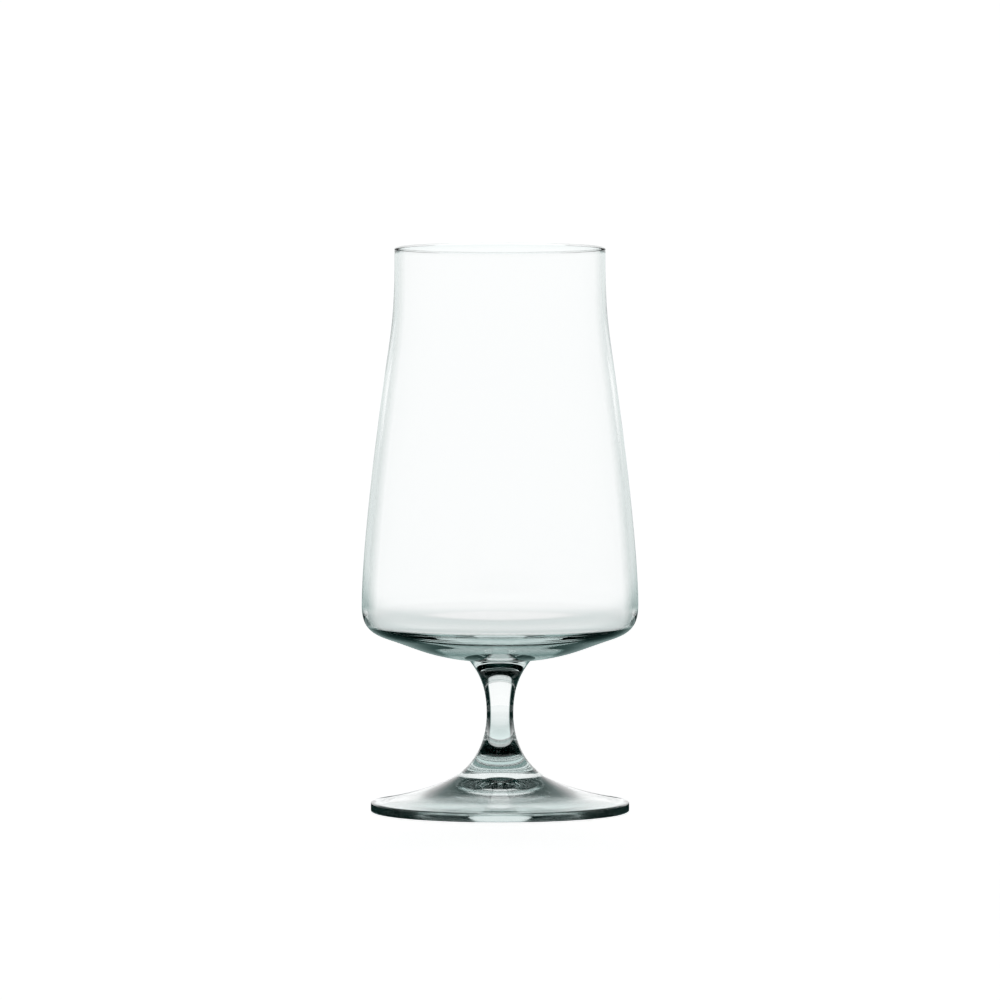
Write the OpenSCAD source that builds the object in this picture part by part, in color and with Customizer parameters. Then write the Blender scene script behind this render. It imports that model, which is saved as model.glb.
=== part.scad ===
// Stemmed beer glass in three pieces of clear glass, fused end to end:
// a blown bowl with a thick floor, a solid drawn stem and a pressed foot that is hollow underneath.
// Every piece is a profile turned about the Z axis. The origin is the centre of the ring it stands on.

/* [Foot] */
// Diameter over the edge of the foot
foot_d = 77.8; // [70:0.1:86]
// Height of the foot at its middle, where the stem sits on it
foot_h = 12; // [10:0.1:14]
// Thickness of the edge
foot_edge_t = 2.9; // [2.4:0.1:3.4]
// Rounding of the edge, above and below its flat side
foot_edge_r = 0.5; // [0.3:0.1:0.9]
// Fall of the top face where it reaches the edge, in degrees
foot_rake = 9; // [7:0.5:12]
// Width of the flat ring underneath that the glass stands on
rest_w = 1.8; // [1:0.1:4]
// Depth of the hollow inside that ring, at its middle
hollow_depth = 8.1; // [6:0.1:8.5]
// Rise of the hollow where it leaves the ring, in degrees
hollow_rise = 14.5; // [11:0.5:16]

/* [Stem] */
// Height of the stem, from the foot to the bowl
stem_h = 33.6; // [28:0.1:45]
// Diameter at the waist
waist_d = 8; // [7:0.1:10]
// Diameter of the joint with the foot
stem_foot_d = 23; // [20:0.1:26]
// Diameter of the joint with the bowl
stem_bowl_d = 18.6; // [15:0.1:22]
// Lean of the side at the foot joint, from upright, in degrees
stem_foot_lean = 50; // [40:1:58]
// Lean of the side at the bowl joint, from upright, in degrees
stem_bowl_lean = 40; // [25:1:50]

/* [Bowl] */
// Height of the bowl, from the stem to the rim
bowl_h = 124.4; // [112:0.1:140]
// Diameter over the rim
rim_d = 63.4; // [58:0.1:67]
// Diameter at the widest place
belly_d = 83.2; // [79:0.1:90]
// Height of the widest place above the stem
belly_h = 16.4; // [14:0.1:20]
// Diameter where the side slopes most
slope_d = 70.2; // [68:0.1:74]
// Height of that place above the stem
slope_h = 83; // [75:0.5:90]
// Slope of the side there, from upright, in degrees
slope_lean = 8; // [6:0.5:10]
// Width of the rounded corner, from the widest place in to the knee, where it meets the underside
corner_w = 8.9; // [7:0.1:11]
// Height of the knee above the stem
knee_h = 6.2; // [5:0.1:7]
// Rise of the underside at the knee, in degrees
knee_rise = 19; // [15:0.5:22]
// Rise of the underside at the stem, in degrees
root_rise = 6; // [3:0.5:10]

/* [Wall] */
// Thickness of the wall at the rounded rim
rim_wall = 1.2; // [0.9:0.1:1.8]
// Thickness where the side slopes most
slope_wall = 1.6; // [1.2:0.1:2.2]
// Thickness at the widest place
belly_wall = 1.75; // [1.4:0.05:2.4]
// Width of the rounded corner inside, between the wall and the floor
floor_corner_w = 5.55; // [4:0.05:9]
// Height of the floor's edge above the stem
floor_edge_h = 9.9; // [9:0.1:11]
// Height of the floor's middle above the stem
floor_h = 7.5; // [6.5:0.1:9]
// Fall of the floor at its edge, towards the middle, in degrees
floor_fall = 4.6; // [3:0.2:6]

/* [Hidden] */
glass_colour = [0.86, 0.94, 0.92, 0.45];
$fn = 128;
// Steps in each long curve and in each rounded edge
curve_steps = 24;
edge_steps = 12;

// Heights of the two joints and of the rim
stem_z = foot_h;
bowl_z = stem_z + stem_h;
rim_z = bowl_z + bowl_h;

// Height of the waist, as a share of the stem's height
waist_share = 0.52;
// Pull of each curve at its start and its end, as shares of the height or width that it covers
hollow_pull_shares = [0.13, 0.72];
flare_pull_shares = [0.28, 0.26];
lower_stem_pull_shares = [0.4, 0.36];
upper_stem_pull_shares = [0.36, 0.4];
underside_pull_shares = [0.5, 0.36];
corner_pull_shares = [0.55, 0.74];
side_pull_shares = [0.2, 0.41];
mouth_pull_shares = [0.46, 0.49];
floor_corner_pull_shares = [1.1, 0.95];
floor_pull_shares = [0.22, 0.51];

// Direction in the profile that rises outwards at an angle from level
function rising(angle) = [cos(angle), sin(angle)];

// Point a share t of the way along the curve from a to d that is pulled towards b and c
function curve_point(a, b, c, d, t) =
    pow(1 - t, 3) * a + 3 * t * pow(1 - t, 2) * b + 3 * t * t * (1 - t) * c + pow(t, 3) * d;

// Points of that curve, without its first
function curve(a, b, c, d) =
    [for (i = [1 : curve_steps]) curve_point(a, b, c, d, i / curve_steps)];

// Points of a rounded edge that turns from one angle to another, without its first
function round_edge(centre, radius, from, to) =
    [for (i = [1 : edge_steps]) centre + radius * rising(from + (to - from) * i / edge_steps)];

// Foot: pressed disc with a flared top, a squared edge and a hollow underneath that follows the top
module foot() {
    edge_x = foot_d / 2 - foot_edge_r;
    lower_edge = [edge_x, foot_edge_r];
    upper_edge = [edge_x, foot_edge_t - foot_edge_r];
    crown = [0, hollow_depth];
    ring = [edge_x - rest_w, 0];
    brim = upper_edge + foot_edge_r * rising(90 - foot_rake);
    seat = [stem_foot_d / 2, foot_h];
    flare_w = brim.x - seat.x;
    from_crown = ring.x * hollow_pull_shares[0] * rising(0);
    to_ring = ring.x * hollow_pull_shares[1] * rising(-hollow_rise);
    from_brim = flare_w * flare_pull_shares[0] * rising(180 - foot_rake);
    to_seat = flare_w * flare_pull_shares[1] * rising(90 + stem_foot_lean);
    color(glass_colour)
        rotate_extrude()
            polygon(concat(
                [crown],
                curve(crown, crown + from_crown, ring - to_ring, ring),
                [[edge_x, 0]],
                round_edge(lower_edge, foot_edge_r, -90, 0),
                [upper_edge + [foot_edge_r, 0]],
                round_edge(upper_edge, foot_edge_r, 0, 90 - foot_rake),
                curve(brim, brim + from_brim, seat - to_seat, seat),
                [[0, foot_h]]));
}

// Stem: solid waisted rod that flares to meet the foot and the bowl
module stem() {
    base = [stem_foot_d / 2, stem_z];
    waist = [waist_d / 2, stem_z + stem_h * waist_share];
    top = [stem_bowl_d / 2, bowl_z];
    lower_h = waist.y - base.y;
    upper_h = top.y - waist.y;
    from_base = lower_h * lower_stem_pull_shares[0] * rising(90 + stem_foot_lean);
    to_waist = lower_h * lower_stem_pull_shares[1] * rising(90);
    from_waist = upper_h * upper_stem_pull_shares[0] * rising(90);
    to_top = upper_h * upper_stem_pull_shares[1] * rising(90 - stem_bowl_lean);
    color(glass_colour)
        rotate_extrude()
            polygon(concat(
                [[0, stem_z], base],
                curve(base, base + from_base, waist - to_waist, waist),
                curve(waist, waist + from_waist, top - to_top, top),
                [[0, bowl_z]]));
}

// Bowl: blown wall that thins towards a rounded rim, over a thick floor that dips to its middle
module bowl() {
    root = [stem_bowl_d / 2, bowl_z];
    belly = [belly_d / 2, bowl_z + belly_h];
    knee = [belly.x - corner_w, bowl_z + knee_h];
    slope = [slope_d / 2, bowl_z + slope_h];
    rim_r = rim_wall / 2;
    rim_centre = [rim_d / 2 - rim_r, rim_z - rim_r];
    rim = rim_centre + [rim_r, 0];
    underside_w = knee.x - root.x;
    corner = belly - knee;
    side_h = slope.y - belly.y;
    mouth_h = rim.y - slope.y;
    up = rising(90);
    up_slope = rising(90 + slope_lean);
    from_root = underside_w * underside_pull_shares[0] * rising(root_rise);
    to_knee = underside_w * underside_pull_shares[1] * rising(knee_rise);
    from_knee = corner.x * corner_pull_shares[0] * rising(knee_rise);
    to_belly = corner.y * corner_pull_shares[1] * up;
    from_belly = side_h * side_pull_shares[0] * up;
    to_slope = side_h * side_pull_shares[1] * up_slope;
    from_slope = mouth_h * mouth_pull_shares[0] * up_slope;
    to_rim = mouth_h * mouth_pull_shares[1] * up;
    // The inside has the same curves, moved in by the wall's thickness, down to the floor
    inner_rim = rim - [rim_wall, 0];
    inner_slope = slope - slope_wall * rising(slope_lean);
    inner_belly = belly - [belly_wall, 0];
    // A rounded corner joins the wall to the floor, which falls inwards to its middle
    floor_edge = [inner_belly.x - floor_corner_w, bowl_z + floor_edge_h];
    floor_centre = [0, bowl_z + floor_h];
    inner_corner = inner_belly - floor_edge;
    inwards = rising(180 + floor_fall);
    from_wall = inner_corner.y * floor_corner_pull_shares[0] * up;
    to_floor = inner_corner.x * floor_corner_pull_shares[1] * inwards;
    from_floor = floor_edge.x * floor_pull_shares[0] * inwards;
    to_centre = floor_edge.x * floor_pull_shares[1] * rising(180);
    color(glass_colour)
        rotate_extrude()
            polygon(concat(
                [[0, bowl_z], root],
                curve(root, root + from_root, knee - to_knee, knee),
                curve(knee, knee + from_knee, belly - to_belly, belly),
                curve(belly, belly + from_belly, slope - to_slope, slope),
                curve(slope, slope + from_slope, rim - to_rim, rim),
                round_edge(rim_centre, rim_r, 0, 180),
                curve(inner_rim, inner_rim - to_rim, inner_slope + from_slope, inner_slope),
                curve(inner_slope, inner_slope - to_slope, inner_belly + from_belly, inner_belly),
                curve(inner_belly, inner_belly - from_wall, floor_edge - to_floor, floor_edge),
                curve(floor_edge, floor_edge + from_floor, floor_centre - to_centre, floor_centre)));
}

bowl();
stem();
foot();
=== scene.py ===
# %% [markdown]
# # A stemmed beer glass
# The glass is three gathers of clear soda-lime glass fused end to end: a blown bowl, a drawn stem and a
# pressed foot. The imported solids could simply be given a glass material. They are cut into flat steps,
# though, and clear glass shows each step as a bright or dark ring. So the pieces are turned again here,
# from the same sizes and with many more points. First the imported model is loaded, in metres with +Z up.

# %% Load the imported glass
import math

import bpy
import numpy as np
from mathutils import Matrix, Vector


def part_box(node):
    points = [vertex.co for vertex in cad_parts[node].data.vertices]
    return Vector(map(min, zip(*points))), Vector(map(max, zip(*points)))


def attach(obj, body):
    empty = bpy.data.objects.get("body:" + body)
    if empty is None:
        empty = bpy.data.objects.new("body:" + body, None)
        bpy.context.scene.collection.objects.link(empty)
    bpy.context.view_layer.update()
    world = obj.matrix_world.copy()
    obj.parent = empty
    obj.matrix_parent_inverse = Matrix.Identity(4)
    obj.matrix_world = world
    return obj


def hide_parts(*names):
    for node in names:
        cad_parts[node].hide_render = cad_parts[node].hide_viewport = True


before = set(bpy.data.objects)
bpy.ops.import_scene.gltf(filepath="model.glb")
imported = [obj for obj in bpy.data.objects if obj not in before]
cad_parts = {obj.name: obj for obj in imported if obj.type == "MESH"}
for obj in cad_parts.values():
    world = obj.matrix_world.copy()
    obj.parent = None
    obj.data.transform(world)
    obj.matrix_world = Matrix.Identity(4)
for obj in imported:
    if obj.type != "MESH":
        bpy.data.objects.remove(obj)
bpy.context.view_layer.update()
scene = bpy.context.scene
print("nodes:", sorted(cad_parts))

# %% [markdown]
# A glass is photographed from far off with a long lens, so that its rim looks almost flat and its foot
# only a little rounder. A camera close by would fit the same frame with a short lens, but it would open
# both circles into wide ovals. The camera stands a little above the rim and looks slightly down.

# %% Camera
CAMERA_AWAY = 4.1
CAMERA_UP = 0.362
CAMERA_TILT = math.radians(3.741)
CAMERA_LENS = 491.9
SENSOR = 36.0
SIGHT = 100.0

camera_data = bpy.data.cameras.new("product_camera")
camera_data.sensor_width = SENSOR
camera_data.lens = CAMERA_LENS
camera_data.clip_end = SIGHT
camera = bpy.data.objects.new("product_camera", camera_data)
camera.location = (0.0, -CAMERA_AWAY, CAMERA_UP)
camera.rotation_euler = (math.pi / 2 - CAMERA_TILT, 0.0, 0.0)
scene.collection.objects.link(camera)
scene.camera = camera
print("camera", CAMERA_AWAY, "m away with a", CAMERA_LENS, "mm lens")

# %% [markdown]
# Every piece is a body of revolution, so all that has to be drawn is its outline, as radius and height.
# A smooth outline could be a spline through points. Here it is a chain of cubic curves that start and
# end at named sizes and leave them at named angles, because those are the sizes a glassmaker would give.
# Each end pulls its curve along its angle for a share of the span, and such shares are named pulls. The
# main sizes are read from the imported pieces, and a seam of a hundredth of a millimetre keeps joints apart.

# %% Outline helpers
MM = 0.001


def rising(angle):
    """Direction that rises outwards at an angle in degrees: its cosine out and its sine up."""
    return np.array([math.cos(math.radians(angle)), math.sin(math.radians(angle))])


def curve(a, b, c, d, steps=48):
    """Cubic curve from a to d pulled to b and c: the points weighted by the terms of (1 - t + t) cubed."""
    t = np.linspace(0.0, 1.0, steps + 1)[1:, None]
    return (1 - t) ** 3 * a + 3 * t * (1 - t) ** 2 * b + 3 * t**2 * (1 - t) * c + t**3 * d


def round_edge(centre, radius, start, end, steps=24):
    """Arc about a centre: the radius times the cosine and sine of an angle that runs from start to end."""
    angle = np.radians(np.linspace(start, end, steps + 1)[1:, None])
    return centre + radius * np.hstack([np.cos(angle), np.sin(angle)])


# %% Sizes that the pieces share
_, foot_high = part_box("foot")
_, stem_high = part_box("stem")
_, bowl_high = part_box("bowl")
STEM_Z = foot_high[2]
BOWL_Z = stem_high[2]
RIM_Z = bowl_high[2]
FOOT_R = foot_high[0]
STEM_FOOT_R = stem_high[0]
STEM_BOWL_R = 9.3 * MM
BELLY_R = bowl_high[0]
SEAM = 0.01 * MM
print("joints at", round(STEM_Z, 4), round(BOWL_Z, 4), "rim at", round(RIM_Z, 4))

# %% [markdown]
# The outline is then carried round the axis, as on a lathe. Blender's Screw modifier does that too, but
# arrays of points make it easy to close each end with a pole and to mark the surface as it is made. Each
# face gets a number named skin: 1 on the glass's surface, less on a fine rim that hardly catches the
# light, and 0 on a flat joint where two pieces are fused and the glass has no surface at all. Each point
# gets two more: satin, from 0 where the glass is polished by the fire to 1 where it keeps the matt touch
# of a mould, and wall, which grows with the thickness of a blown wall.

# %% Points and faces of a turned surface
AROUND = 224


def ring_points(outline):
    """Carries an outline of (radius, height) round Z: x = r cos a, y = r sin a, z = h, then the poles."""
    rings = outline[1:-1]
    angle = np.linspace(0.0, 2 * math.pi, AROUND, endpoint=False)
    x = rings[:, :1] * np.cos(angle)
    y = rings[:, :1] * np.sin(angle)
    z = np.repeat(rings[:, 1:], AROUND, axis=1)
    poles = np.array([[0.0, 0.0, outline[0, 1]], [0.0, 0.0, outline[-1, 1]]])
    return np.vstack([np.stack([x, y, z], axis=-1).reshape(-1, 3), poles])


def ring_faces(rings):
    """Four-sided faces between neighbouring rings, and a fan of triangles from each pole to its ring."""
    here = np.arange(rings * AROUND).reshape(rings, AROUND)
    there = np.roll(here, -1, axis=1)
    quads = np.stack([here[:-1], there[:-1], there[1:], here[1:]], axis=-1).reshape(-1, 4)
    fan_in = np.stack([np.full(AROUND, here.size), there[0], here[0]], axis=-1)
    fan_out = np.stack([np.full(AROUND, here.size + 1), here[-1], there[-1]], axis=-1)
    return quads, fan_in, fan_out


# %% Turned piece
SHEER = 0.15
CREASE = math.radians(35)


def turned(name, outline, joint_below=False, joint_above=False, sheer_from=math.inf, satin=0.0, wall=0.0):
    """Piece turned from an outline, with skin marked on its faces, and satin and wall on its points."""
    points = ring_points(outline)
    quads, fan_in, fan_out = ring_faces(len(outline) - 2)
    mesh = bpy.data.meshes.new(name)
    mesh.from_pydata(points.tolist(), [], quads.tolist() + fan_in.tolist() + fan_out.tolist())
    skin = np.ones(len(mesh.polygons), dtype=np.float32)
    skin[:len(quads)][points[quads, 2].mean(axis=1) > sheer_from] = SHEER
    skin[len(quads):len(quads) + AROUND] = 0.0 if joint_below else 1.0
    skin[len(quads) + AROUND:] = 0.0 if joint_above else 1.0
    mesh.attributes.new("skin", "FLOAT", "FACE").data.foreach_set("value", skin)
    for mark, shares in (("satin", satin), ("wall", wall)):
        shares = np.broadcast_to(shares, len(outline)).astype(np.float32)
        values = np.concatenate([np.repeat(shares[1:-1], AROUND), shares[[0, -1]]])
        mesh.attributes.new(mark, "FLOAT", "POINT").data.foreach_set("value", values)
    mesh.shade_smooth()
    mesh.set_sharp_from_angle(angle=CREASE)
    piece = bpy.data.objects.new(name, mesh)
    scene.collection.objects.link(piece)
    on_joints = int((skin == 0).sum())
    print(name, len(mesh.vertices), "points,", len(mesh.polygons), "faces,", on_joints, "on joints")
    return piece


# %% [markdown]
# The foot is pressed in a mould. Its top sweeps up to the stem in one curve, its edge is nearly square,
# and its underside is hollow, so that it stands on a narrow ring and cannot rock. The hollow is not seen
# directly, but it bends the light in the foot, so it is as carefully shaped as the top. The plunger of
# the mould leaves it satin, which softens all that is seen through it, and only its rim is polished.

# %% Foot
EDGE_T = 2.9 * MM
EDGE_R = 0.5 * MM
FOOT_RAKE = 9
REST_W = 1.8 * MM
HOLLOW_DEPTH = 8.1 * MM
HOLLOW_RISE = 14.5
HOLLOW_PULLS = (0.13, 0.72)
HOLLOW_STEPS = 96
EDGE_STEPS = 8
STEM_FOOT_LEAN = 50
FLARE_PULLS = (0.28, 0.26)
FLARE_STEPS = 96
SATIN_STOPS = [(0, 0.25), (9, 0.25), (15, 1.0), (24, 1.0), (35, 0.0)]


def foot_outline():
    """The hollow from its crown to the ring, the flat ring, a side between two roundings, and the flare."""
    crown = np.array([0.0, HOLLOW_DEPTH])
    ring = np.array([FOOT_R - EDGE_R - REST_W, 0.0])
    from_crown = HOLLOW_PULLS[0] * ring[0] * rising(0)
    to_ring = HOLLOW_PULLS[1] * ring[0] * rising(-HOLLOW_RISE)
    hollow = curve(crown, crown + from_crown, ring - to_ring, ring, steps=HOLLOW_STEPS)
    low_centre = np.array([FOOT_R - EDGE_R, EDGE_R])
    high_centre = np.array([FOOT_R - EDGE_R, EDGE_T - EDGE_R])
    low_edge = round_edge(low_centre, EDGE_R, -90, 0, steps=EDGE_STEPS)
    high_edge = round_edge(high_centre, EDGE_R, 0, 90 - FOOT_RAKE, steps=EDGE_STEPS)
    brim = high_edge[-1]
    seat = np.array([STEM_FOOT_R, STEM_Z - SEAM])
    width = brim[0] - seat[0]
    from_brim = FLARE_PULLS[0] * width * rising(180 - FOOT_RAKE)
    to_seat = FLARE_PULLS[1] * width * rising(90 + STEM_FOOT_LEAN)
    flare = curve(brim, brim + from_brim, seat - to_seat, seat, steps=FLARE_STEPS)
    rest_end = [[low_centre[0], 0.0]]
    side_top = [[FOOT_R, high_centre[1]]]
    joint = [[0.0, seat[1]]]
    return np.vstack([[crown], hollow, rest_end, low_edge, side_top, high_edge, flare, joint])


def hollow_satin(outline):
    """Straight lines over the radius between the satin stops in the hollow, and 0 on the rest."""
    radius, share = np.array(SATIN_STOPS).T
    under = np.arange(len(outline)) <= HOLLOW_STEPS
    return under * np.interp(outline[:, 0], radius * MM, share)


foot_shape = foot_outline()
foot = turned("glass_foot", foot_shape, joint_above=True, satin=hollow_satin(foot_shape))

# %% [markdown]
# The stem is a solid rod, pulled out hot so that it is thinnest at its waist and flares at both ends. It
# could be a cylinder with a bend on it, but two curves that meet upright at the waist give the waist's
# height and thickness directly, and leave the joints at the same lean as the pieces they meet.

# %% Stem
WAIST_R = 4 * MM
WAIST_SHARE = 0.52
STEM_BOWL_LEAN = 40
STEM_PULLS = (0.4, 0.36)
STEM_STEPS = 96


def stem_outline():
    """Two curves that meet upright at the waist, between flat joints."""
    base = np.array([STEM_FOOT_R, STEM_Z + SEAM])
    top = np.array([STEM_BOWL_R, BOWL_Z - SEAM])
    waist = np.array([WAIST_R, base[1] + WAIST_SHARE * (top[1] - base[1])])
    low = waist[1] - base[1]
    high = top[1] - waist[1]
    joint_pull, waist_pull = STEM_PULLS
    from_base = joint_pull * low * rising(90 + STEM_FOOT_LEAN)
    to_waist = waist_pull * low * rising(90)
    from_waist = waist_pull * high * rising(90)
    to_top = joint_pull * high * rising(90 - STEM_BOWL_LEAN)
    lower = curve(base, base + from_base, waist - to_waist, waist, steps=STEM_STEPS)
    upper = curve(waist, waist + from_waist, top - to_top, top, steps=STEM_STEPS)
    return np.vstack([[[0.0, base[1]]], [base], lower, upper, [[0.0, top[1]]]])


stem = turned("glass_stem", stem_outline(), joint_below=True, joint_above=True)

# %% [markdown]
# The bowl is blown into a mould. Its wall thins towards a rounded rim and gathers into a thick floor,
# which works as a lens over the stem. A Solidify modifier would give the same wall all over, so the
# inside is drawn as curves of its own: the outside's, moved in by the wall, down to a dipped floor.

# %% Bowl sizes
RIM_R = 31.7 * MM
RIM_WALL = 1.2 * MM
SLOPE_R = 35.1 * MM
SLOPE_H = 83 * MM
SLOPE_LEAN = 8
SLOPE_WALL = 1.6 * MM
BELLY_H = 16.4 * MM
BELLY_WALL = 1.75 * MM
KNEE_R = 32.7 * MM
KNEE_H = 6.2 * MM
KNEE_RISE = 19
ROOT_RISE = 6
FLOOR_R = 34.3 * MM
FLOOR_EDGE_H = 9.9 * MM
FLOOR_H = 7.5 * MM
FLOOR_FALL = 4.6

root = np.array([STEM_BOWL_R, BOWL_Z + SEAM])
knee = np.array([KNEE_R, BOWL_Z + KNEE_H])
belly = np.array([BELLY_R, BOWL_Z + BELLY_H])
slope = np.array([SLOPE_R, BOWL_Z + SLOPE_H])
rim_centre = np.array([RIM_R - RIM_WALL / 2, RIM_Z - RIM_WALL / 2])
rim = rim_centre + [RIM_WALL / 2, 0.0]
up = rising(90)
up_slope = rising(90 + SLOPE_LEAN)
side_h = slope[1] - belly[1]
mouth_h = rim[1] - slope[1]
print("bowl", round((rim[1] - root[1]) / MM, 1), "mm tall")


# %% Bowl outside
UNDER_PULLS = (0.5, 0.36)
CORNER_PULLS = (0.55, 0.74)
SIDE_PULLS = (0.2, 0.41)
MOUTH_PULLS = (0.46, 0.49)
WALL_STEPS = 40
RIM_STEPS = 16

belly_up, slope_down = SIDE_PULLS[0] * side_h * up, SIDE_PULLS[1] * side_h * up_slope
slope_up, rim_down = MOUTH_PULLS[0] * mouth_h * up_slope, MOUTH_PULLS[1] * mouth_h * up


def bowl_outside():
    """Curves along the underside, round the corner, up the side and the mouth, then a half circle."""
    wide = knee[0] - root[0]
    corner = belly - knee
    from_root = UNDER_PULLS[0] * wide * rising(ROOT_RISE)
    to_knee = UNDER_PULLS[1] * wide * rising(KNEE_RISE)
    from_knee = CORNER_PULLS[0] * corner[0] * rising(KNEE_RISE)
    to_belly = CORNER_PULLS[1] * corner[1] * up
    return np.vstack([
        curve(root, root + from_root, knee - to_knee, knee),
        curve(knee, knee + from_knee, belly - to_belly, belly),
        curve(belly, belly + belly_up, slope - slope_down, slope, steps=WALL_STEPS),
        curve(slope, slope + slope_up, rim - rim_down, rim, steps=WALL_STEPS),
        round_edge(rim_centre, RIM_WALL / 2, 0, 180, steps=RIM_STEPS),
    ])


# %% Bowl inside
INNER_CORNER_PULLS = (1.1, 0.95)
FLOOR_PULLS = (0.22, 0.51)


def bowl_inside():
    """The mouth and side moved in by the wall, a corner curve to the floor's edge, and a fall inwards."""
    inner_rim = rim - [RIM_WALL, 0.0]
    inner_slope = slope - SLOPE_WALL * rising(SLOPE_LEAN)
    inner_belly = belly - [BELLY_WALL, 0.0]
    edge = np.array([FLOOR_R, BOWL_Z + FLOOR_EDGE_H])
    middle = np.array([0.0, BOWL_Z + FLOOR_H])
    inner_corner = inner_belly - edge
    inwards = rising(180 + FLOOR_FALL)
    from_belly = INNER_CORNER_PULLS[0] * inner_corner[1] * up
    to_edge = INNER_CORNER_PULLS[1] * inner_corner[0] * inwards
    from_edge = FLOOR_PULLS[0] * FLOOR_R * inwards
    to_middle = FLOOR_PULLS[1] * FLOOR_R * rising(180)
    return np.vstack([
        curve(inner_rim, inner_rim - rim_down, inner_slope + slope_up, inner_slope, steps=WALL_STEPS),
        curve(inner_slope, inner_slope - slope_down, inner_belly + belly_up, inner_belly, steps=WALL_STEPS),
        curve(inner_belly, inner_belly - from_belly, edge - to_edge, edge),
        curve(edge, edge + from_edge, middle - to_middle, middle),
    ])


# %% Bowl
RIM_SHARE = 0.35


# The wall mark sets how much painted edge shade the glass's tint gets.
def bowl_wall(outline):
    """Straight line over the height: the rim's share at the rim, and 1 at the belly and below."""
    down = np.clip((RIM_Z - outline[:, 1]) / (RIM_Z - belly[1]), 0.0, 1.0)
    return RIM_SHARE + (1.0 - RIM_SHARE) * down


bowl_shape = np.vstack([[[0.0, root[1]]], [root], bowl_outside(), bowl_inside()])
bowl_marks = {"sheer_from": rim_centre[1], "wall": bowl_wall(bowl_shape)}
bowl = turned("glass_bowl", bowl_shape, joint_below=True, **bowl_marks)

# %% [markdown]
# Every finish from here on is a tree of nodes. It could be put together by hand in the Shader Editor, one
# link at a time. A few helpers write the same trees in fewer lines: each adds a node, feeds its inputs
# with numbers, colours or the outputs of other nodes, and hands back its result.

# %% Node helpers
def add_node(tree, kind, **settings):
    """Adds a node of a kind to a node tree and sets the properties that are named."""
    node = tree.nodes.new(kind)
    for key, value in settings.items():
        setattr(node, key, value)
    return node


def feed(tree, socket, value):
    """Links an output to an input, or sets the input to a number or a colour."""
    if isinstance(value, bpy.types.NodeSocket):
        tree.links.new(value, socket)
    else:
        socket.default_value = value


def math_node(tree, operation, *values):
    """Result of a Math node on numbers or outputs."""
    node = add_node(tree, "ShaderNodeMath", operation=operation)
    for socket, value in zip(node.inputs, values):
        feed(tree, socket, value)
    return node.outputs["Value"]


# %% Colour helpers
def opaque(colour):
    """Red, green and blue with a full alpha behind them."""
    return (*colour, 1.0)


def ramp_over(tree, value, stops):
    """Colour of a ramp over a value, with stops of a place from 0 to 1 and a grey level or a colour."""
    ramp = add_node(tree, "ShaderNodeValToRGB")
    elements = ramp.color_ramp.elements
    for _ in stops[2:]:
        elements.new(1.0)
    for element, (place, level) in zip(elements, stops):
        element.position = place
        element.color = opaque(np.broadcast_to(level, 3))
    feed(tree, ramp.inputs["Fac"], value)
    return ramp.outputs["Color"]


def mix_colours(tree, share, first, second, blend="MIX"):
    """Colour that goes by a share from the first to the second, or to a blend of the two."""
    mix = add_node(tree, "ShaderNodeMix", data_type="RGBA", blend_type=blend)
    feed(tree, mix.inputs["Factor"], share)
    feed(tree, mix.inputs["A"], first)
    feed(tree, mix.inputs["B"], second)
    return mix.outputs["Result"]


# %% [markdown]
# Clear glass is one Principled shader with full transmission and the refraction of soda-lime glass. The
# joints are fused, and a surface there would shine like a crack, so the skin mark makes their faces
# see-through, and the fine rim almost so. The satin mark roughens the hollow of the foot. A second
# material could do that too, but then a hard line would show where the two meet.

# %% Clear glass
REFRACTION = 1.52
MATT = 0.12

glass = bpy.data.materials.new("clear_glass")
glass.use_nodes = True
tree = glass.node_tree
shader = tree.nodes["Principled BSDF"]
feed(tree, shader.inputs["IOR"], REFRACTION)
feed(tree, shader.inputs["Transmission Weight"], 1.0)
skin = add_node(tree, "ShaderNodeAttribute", attribute_name="skin")
feed(tree, shader.inputs["Alpha"], skin.outputs["Fac"])
satin = add_node(tree, "ShaderNodeAttribute", attribute_name="satin")
feed(tree, shader.inputs["Roughness"], math_node(tree, "MULTIPLY", satin.outputs["Fac"], MATT))
print("glass with a refraction of", REFRACTION)

# %% [markdown]
# Soda-lime glass is faintly green where it is thick. A tint on the surface can't show that, so a volume
# takes out a little more red than green and blue with every millimetre. Where a thin wall is looked along,
# the surface also gets painted shade, a deeper grey than the volume alone gives it. A denser volume would
# darken the foot and the stem too, so the painted shade is a tint on the surface there, by Layer Weight,
# and the wall mark lets it grow with the wall.

# %% Tint
ABSORBED_PER_M = np.array([7.4, 5.2, 5.4])
DENSITY = 12.0
CLEAR = (0.995, 0.998, 0.998)
GRAZING_SHADE = (0.28, 0.37, 0.355)
ALONG_SHADE_STOPS = [(0.62, 0.0), (0.72, 0.45), (1.0, 1.0)]

depth = add_node(tree, "ShaderNodeVolumeAbsorption")
feed(tree, depth.inputs["Color"], opaque(1.0 - ABSORBED_PER_M / DENSITY))
feed(tree, depth.inputs["Density"], DENSITY)
feed(tree, tree.nodes["Material Output"].inputs["Volume"], depth.outputs["Volume"])
wall = add_node(tree, "ShaderNodeAttribute", attribute_name="wall")
graze = add_node(tree, "ShaderNodeLayerWeight")
# Painted shade: the surface greys where the wall is looked along, and more where the wall mark is higher.
along = ramp_over(tree, graze.outputs["Facing"], ALONG_SHADE_STOPS)
painted_edge_shade = math_node(tree, "MULTIPLY", wall.outputs["Fac"], along)
tint = mix_colours(tree, painted_edge_shade, opaque(CLEAR), opaque(GRAZING_SHADE))
feed(tree, shader.inputs["Base Color"], tint)
through_10_mm = np.exp(-ABSORBED_PER_M * 10 * MM)
print("glass keeps", through_10_mm.round(3), "of red, green and blue through 10 mm")

# %% [markdown]
# Blown and pressed glass is never quite even, and what it mirrors wavers a little. The points could be
# moved, but waves so low would need a far denser mesh. A Bump node tilts the normals instead, by a smooth
# noise in Object coordinates, which stays in place on the glass.

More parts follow.
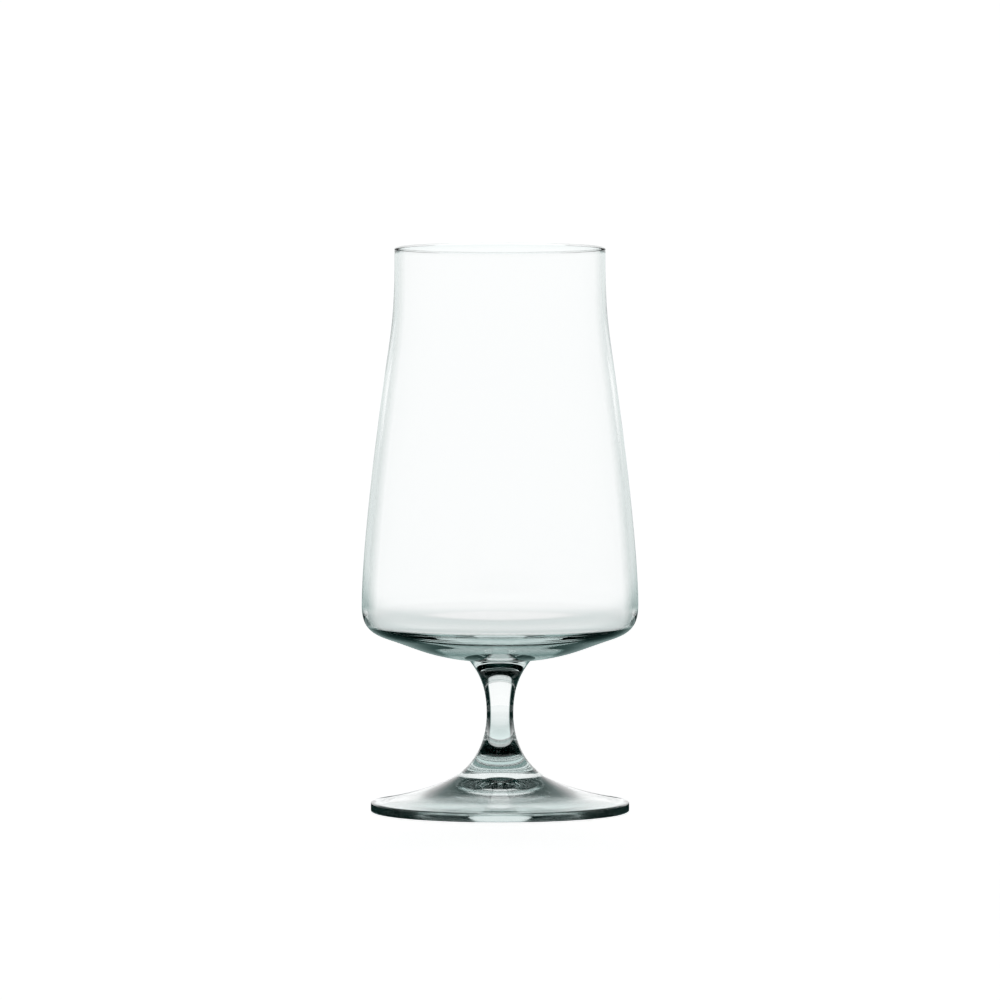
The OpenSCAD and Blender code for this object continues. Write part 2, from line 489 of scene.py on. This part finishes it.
# %% Waves
WAVES_PER_M = 45.0
WAVE_DETAIL = 1.0
WAVE_HEIGHT = 0.2 * MM
WAVE_SHARE = 0.1

place = add_node(tree, "ShaderNodeTexCoord")
waves = add_node(tree, "ShaderNodeTexNoise")
feed(tree, waves.inputs["Vector"], place.outputs["Object"])
feed(tree, waves.inputs["Scale"], WAVES_PER_M)
feed(tree, waves.inputs["Detail"], WAVE_DETAIL)
rippled = add_node(tree, "ShaderNodeBump")
feed(tree, rippled.inputs["Height"], waves.outputs["Fac"])
feed(tree, rippled.inputs["Strength"], WAVE_SHARE)
feed(tree, rippled.inputs["Distance"], WAVE_HEIGHT)
feed(tree, shader.inputs["Normal"], rippled.outputs["Normal"])
print("waves about", round(1000 / WAVES_PER_M), "mm long")

# %% [markdown]
# The three pieces share the one glass, as they come from one pot. Three copies of the material would look
# the same, but then a change to one would have to be made three times. Each piece also stands in for its
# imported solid.

# %% Dress the pieces
def dress(piece, node):
    """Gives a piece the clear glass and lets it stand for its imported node."""
    piece.data.materials.append(glass)
    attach(piece, "root")
    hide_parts(node)


dress(foot, "foot")
dress(stem, "stem")
dress(bowl, "bowl")
print("dressed", foot.name, stem.name, bowl.name)

# %% [markdown]
# A glass has no colour of its own to show: all that is seen is what it bends and mirrors. Photographers
# stand it on a pale polished table in front of one bright panel, with dark on both sides. The panel fills
# the clear parts and the dark sides draw the outline. The table could end in a curved sheet of paper.
# Here it is one flat sheet, so large that its edge is lost, just under the glass.

# %% Table
HALF = 40.0
TABLE_DROP = 0.2 * MM

corners = [(-HALF, -HALF, 0), (HALF, -HALF, 0), (HALF, HALF, 0), (-HALF, HALF, 0)]
table_mesh = bpy.data.meshes.new("studio_table")
table_mesh.from_pydata(corners, [], [(0, 1, 2, 3)])
table = bpy.data.objects.new("studio_table", table_mesh)
table.location.z = -TABLE_DROP
scene.collection.objects.link(table)
print("table", 2 * HALF, "m wide")

# %% [markdown]
# In a real studio, cards and sheets are moved about until each part of the glass looks right, and each
# card serves one part. Modelled cards would stand in each other's way. Cycles counts how often light was
# mirrored and how often it crossed a surface, so the table and the world ask for those counts, and each
# kind of light finds a card of its own. Greys are made a little cool, which suits clear glass.

# %% What the light has met
NEAREST = 0.5
ONE_WALL = 2.5
TWO_WALLS = 3.5
RED_POWER = 1.3
BLUE_POWER = 1.03


def mirrored(tree, path, times):
    """1 for light mirrored so many times that crossed at most the two surfaces of a wall, else 0."""
    counted = math_node(tree, "COMPARE", path.outputs["Glossy Depth"], times, NEAREST)
    one_wall = math_node(tree, "LESS_THAN", path.outputs["Transmission Depth"], ONE_WALL)
    return math_node(tree, "MULTIPLY", counted, one_wall)


def through_bowl(tree, path):
    """1 for light that crossed the four surfaces of two walls, else 0."""
    return math_node(tree, "GREATER_THAN", path.outputs["Transmission Depth"], TWO_WALLS)


def cool(level):
    """Colour of a cool grey: below white, red and blue are the level to powers a little over 1."""
    return (min(level, level**RED_POWER), level, min(level, level**BLUE_POWER))


# %% Shader helpers
def mirror_shader(tree, colour):
    """Perfect mirror of a colour."""
    mirror = add_node(tree, "ShaderNodeBsdfGlossy")
    feed(tree, mirror.inputs["Color"], colour)
    feed(tree, mirror.inputs["Roughness"], 0.0)
    return mirror.outputs["BSDF"]


def glow_shader(tree, colour=(1.0, 1.0, 1.0, 1.0), strength=1.0):
    """Surface that gives off a colour at a strength."""
    glow = add_node(tree, "ShaderNodeEmission")
    feed(tree, glow.inputs["Color"], colour)
    feed(tree, glow.inputs["Strength"], strength)
    return glow.outputs["Emission"]


def mix_shaders(tree, share, first, second):
    """Surface that goes by a share from the first to the second."""
    mix = add_node(tree, "ShaderNodeMixShader")
    feed(tree, mix.inputs["Fac"], share)
    feed(tree, mix.inputs[1], first)
    feed(tree, mix.inputs[2], second)
    return mix.outputs["Shader"]


def add_shaders(tree, first, second):
    """Surface that shows the sum of two."""
    both = add_node(tree, "ShaderNodeAddShader")
    feed(tree, both.inputs[0], first)
    feed(tree, both.inputs[1], second)
    return both.outputs["Shader"]


# %% [markdown]
# Polished stone mirrors strongly where it is looked along and weakly where it is looked down on, which is
# a ramp over Layer Weight's Facing. Close to the foot it has to mirror the foot, so it is a Glossy shader
# there. Farther off only the studio is left to mirror, and the world below is made the same as the world
# above. So light passes straight on, through a Transparent shader, and isn't counted as mirrored.

# %% Mirror in the table
POLISH = [(0.08, 0.02), (0.3, 0.25), (0.56, 0.51), (0.70, 0.63), (0.844, 0.82), (0.948, 0.92)]
FAR = 0.09

table_finish = bpy.data.materials.new("polished_table")
table_finish.use_nodes = True
tree = table_finish.node_tree
tree.nodes.clear()
path = add_node(tree, "ShaderNodeLightPath")
facing = add_node(tree, "ShaderNodeLayerWeight").outputs["Facing"]
place = add_node(tree, "ShaderNodeTexCoord")
reach = add_node(tree, "ShaderNodeVectorMath", operation="LENGTH")
feed(tree, reach.inputs[0], place.outputs["Object"])
reach_m = reach.outputs["Value"]

polish = ramp_over(tree, facing, [(share, cool(level)) for share, level in POLISH])
passed_on = add_node(tree, "ShaderNodeBsdfTransparent")
feed(tree, passed_on.inputs["Color"], polish)
far = math_node(tree, "GREATER_THAN", reach_m, FAR)
mirror = mix_shaders(tree, far, mirror_shader(tree, polish), passed_on.outputs["BSDF"])
print("the table mirrors from", POLISH[0][1], "to", POLISH[-1][1])

# %% [markdown]
# Looked down on, the table is pale paper, and light that the glass has not mirrored shows it: straight
# down, through the mouth and through the foot. Light that falls upright shows it on any path. Paper lit by
# a lamp would do, but then the dark lines in the stem would fade. So it glows by angle only, which is
# painted light, with a painted shadow under the stem, and far from the foot at a flatter angle too.

# %% Paper in the table
BEHIND = 1.02
TOP_R = 2.0
OPEN = 0.24
STEEP = [(0.0, 0.85), (0.42, 0.75), (0.6, 0.3), (0.75, 0.0)]
UPRIGHT = [(0.2, 0.8), (0.4, 0.0)]
DOWN = [(0.78, BEHIND), (0.86, 0.0)]
FOOT_PAINTED_SHADOW = [(0.010, 0.0), (0.016, 1.0)]

reach_share = math_node(tree, "DIVIDE", reach_m, TOP_R)


def reach_ramp(stops):
    """Ramp over the distance from the axis, with stops of metres and a level."""
    return ramp_over(tree, reach_share, [(metres / TOP_R, cool(level)) for metres, level in stops])


# The paper's glow is painted light, and the ramp over the distance from the axis paints a shadow under the
# stem.
plain = mirrored(tree, path, 0)
steep = math_node(tree, "MULTIPLY", ramp_over(tree, facing, STEEP), plain)
lit = math_node(tree, "MAXIMUM", steep, ramp_over(tree, facing, UPRIGHT))
painted_light_near = math_node(tree, "MULTIPLY", lit, reach_ramp(FOOT_PAINTED_SHADOW))
beyond = math_node(tree, "MULTIPLY", plain, math_node(tree, "GREATER_THAN", reach_m, OPEN))
painted_light_far = math_node(tree, "MULTIPLY", ramp_over(tree, facing, DOWN), beyond)
paper_level = math_node(tree, "MAXIMUM", painted_light_near, painted_light_far)
plain_table = add_shaders(tree, mirror, glow_shader(tree, strength=paper_level))
print("paper from", FOOT_PAINTED_SHADOW[0][0], "m off the axis")

# %% [markdown]
# Light that the glass has mirrored once finds another table: it mirrors less, only for half a metre round
# the glass, and from there it glows lighter, painted light in place of a sweep of paper lit on its way to
# the lamps. A bent sheet could be modelled, but a ramp over the distance says directly where it grows
# lighter.

# %% Sweep in the table
TABLE_TOP = [(0.45, 0.5), (0.6, 0.0)]
SWEEP_PAINTED_LIGHT = [(0.45, 0.0), (0.8, 0.32), (1.2, 0.68), (1.6, 0.85)]

gloss = mix_colours(tree, 1.0, polish, reach_ramp(TABLE_TOP), blend="MULTIPLY")
# The sweep is painted light: a glow that grows with the distance from the glass.
sweep = glow_shader(tree, reach_ramp(SWEEP_PAINTED_LIGHT))
swept_table = add_shaders(tree, mirror_shader(tree, gloss), sweep)
seen_by_walls = mix_shaders(tree, mirrored(tree, path, 1), plain_table, swept_table)
print("sweep from", SWEEP_PAINTED_LIGHT[0][0], "to", SWEEP_PAINTED_LIGHT[-1][0], "m")

# %% [markdown]
# Seen right through the bowl, the table is as white as the background, so that no line shows where the
# two meet. For the camera it is white paper that glows and is also lit a little, which leaves a very faint
# shade round the foot. Plain white paper would be grey here, because most of this studio is dark.

# %% Table finish
NEAR_FOOT = 0.06
PAPER_GLOW = 0.93
PAPER = (0.8, 0.8, 0.8)

away = math_node(tree, "GREATER_THAN", reach_m, NEAR_FOOT)
open_table = math_node(tree, "MULTIPLY", away, through_bowl(tree, path))
seen_by_glass = mix_shaders(tree, open_table, seen_by_walls, glow_shader(tree, strength=BEHIND))
paper = add_node(tree, "ShaderNodeBsdfDiffuse")
feed(tree, paper.inputs["Color"], opaque(PAPER))
seen_by_camera = add_shaders(tree, glow_shader(tree, strength=PAPER_GLOW), paper.outputs["BSDF"])
choice = mix_shaders(tree, path.outputs["Is Camera Ray"], seen_by_glass, seen_by_camera)
out = add_node(tree, "ShaderNodeOutputMaterial")
feed(tree, out.inputs["Surface"], choice)
table_mesh.materials.append(table_finish)
print("table finish of", len(tree.nodes), "nodes")

# %% [markdown]
# The panel and the dark sides could be planes with lamps behind them. The world does the same with less:
# one ramp over the compass direction, one over the height, and their product. The height counts alike
# above and below the horizon, which makes the mirrored studio under the table. Light that bounces off the
# outer skin finds a panel that fades lower down, which shades what the skin mirrors softly.

# %% Panel and dark sides
PANEL = 1.12
DARK = 0.014
COMPASS = [(0, PANEL), (31, PANEL), (34, 0.45), (37, DARK), (180, DARK)]
HEIGHT = [(0, 1.0), (44, 1.0), (56, 0.05), (90, 0.05)]
GLANCE_HEIGHT = [(0, 1.0), (17, 1.0), (26, 0.52), (36, 0.24), (44, 0.07), (56, 0.05)]
LEVEL = 0.5
NO_WALL = 0.5

world = bpy.data.worlds.new("studio")
world.use_nodes = True
scene.world = world
tree = world.node_tree
tree.nodes.clear()
path = add_node(tree, "ShaderNodeLightPath")
direction = add_node(tree, "ShaderNodeTexCoord")
split = add_node(tree, "ShaderNodeSeparateXYZ")
feed(tree, split.inputs["Vector"], direction.outputs["Generated"])
east, north, rise = (split.outputs[axis] for axis in "XYZ")
turn = math_node(tree, "ABSOLUTE", math_node(tree, "ARCTAN2", east, north))
turn_share = math_node(tree, "DIVIDE", turn, math.pi)
lift = math_node(tree, "ARCSINE", math_node(tree, "ABSOLUTE", rise))
lift_share = math_node(tree, "ADD", math_node(tree, "DIVIDE", lift, math.pi), LEVEL)


def height_ramp(stops):
    """Ramp over the height, with stops of degrees above the horizon and a level."""
    return ramp_over(tree, lift_share, [(degrees / 180 + LEVEL, cool(level)) for degrees, level in stops])


compass = ramp_over(tree, turn_share, [(degrees / 180, cool(level)) for degrees, level in COMPASS])
outside = math_node(tree, "LESS_THAN", path.outputs["Transmission Depth"], NO_WALL)
off_the_skin = math_node(tree, "MULTIPLY", outside, path.outputs["Is Glossy Ray"])
height = mix_colours(tree, off_the_skin, height_ramp(HEIGHT), height_ramp(GLANCE_HEIGHT))
panel = mix_colours(tree, 1.0, compass, height, blend="MULTIPLY")
print("panel", 2 * COMPASS[1][0], "degrees wide")

# %% [markdown]
# Light that the glass mirrored once also finds the pale walls of the room, a low band all round that
# softens the dark parts. Light that was mirrored twice finds shade low down, which keeps dark lines in the
# thick glass. Both could be rings of card round the table, but then all other light would meet them too.

# %% Room
WALLS = cool(0.84)
WALL_TOP = math.sin(math.radians(14))
WALL_FOOT = math.sin(math.radians(-1))
SHADE = cool(0.04)
SHADE_TOP = math.sin(math.radians(8))

above_foot = math_node(tree, "GREATER_THAN", rise, WALL_FOOT)
below_top = math_node(tree, "LESS_THAN", rise, WALL_TOP)
at_walls = math_node(tree, "MULTIPLY", above_foot, below_top)
once = math_node(tree, "MULTIPLY", at_walls, mirrored(tree, path, 1))
room = mix_colours(tree, once, panel, opaque(WALLS), blend="LIGHTEN")
in_shade = math_node(tree, "LESS_THAN", rise, SHADE_TOP)
twice = math_node(tree, "MULTIPLY", in_shade, mirrored(tree, path, 2))
shaded = mix_colours(tree, twice, room, opaque(SHADE))
print("walls of", [round(float(level), 2) for level in WALLS])

# %% [markdown]
# Right through the bowl the background is bright from every side, or the dark sides would fill the bowl
# when it is looked at from elsewhere. A haze that thickens a little above the horizon draws the grey edges
# of the walls. The camera itself sees plain white. A white backdrop could do that, but it would have to
# follow the camera round.

# %% Background
HORIZON = math.sin(math.radians(12))
HAZE = [(0, 1.0), (1.5, 0.97), (3, 0.90), (5, 0.76), (12, 0.76)]
WHITE = (1.0, 1.0, 1.0)

low = math_node(tree, "LESS_THAN", rise, HORIZON)
haze = height_ramp([(degrees, BEHIND * level) for degrees, level in HAZE])
clear = mix_colours(tree, math_node(tree, "MULTIPLY", through_bowl(tree, path), low), shaded, haze)
seen = mix_colours(tree, path.outputs["Is Camera Ray"], clear, opaque(WHITE))
sky = add_node(tree, "ShaderNodeBackground")
feed(tree, sky.inputs["Color"], seen)
out = add_node(tree, "ShaderNodeOutputWorld")
feed(tree, out.inputs["Surface"], sky.outputs["Background"])
print("world of", len(tree.nodes), "nodes")

# %% [markdown]
# Light crosses many surfaces in a glass before it gets out, so the number of bounces is raised. Colours
# are shown as they are.

# %% Finish
BOUNCES = 32

scene.view_settings.view_transform = "Standard"
scene.cycles.max_bounces = BOUNCES
scene.cycles.glossy_bounces = BOUNCES
scene.cycles.transmission_bounces = BOUNCES
scene.cycles.transparent_max_bounces = BOUNCES
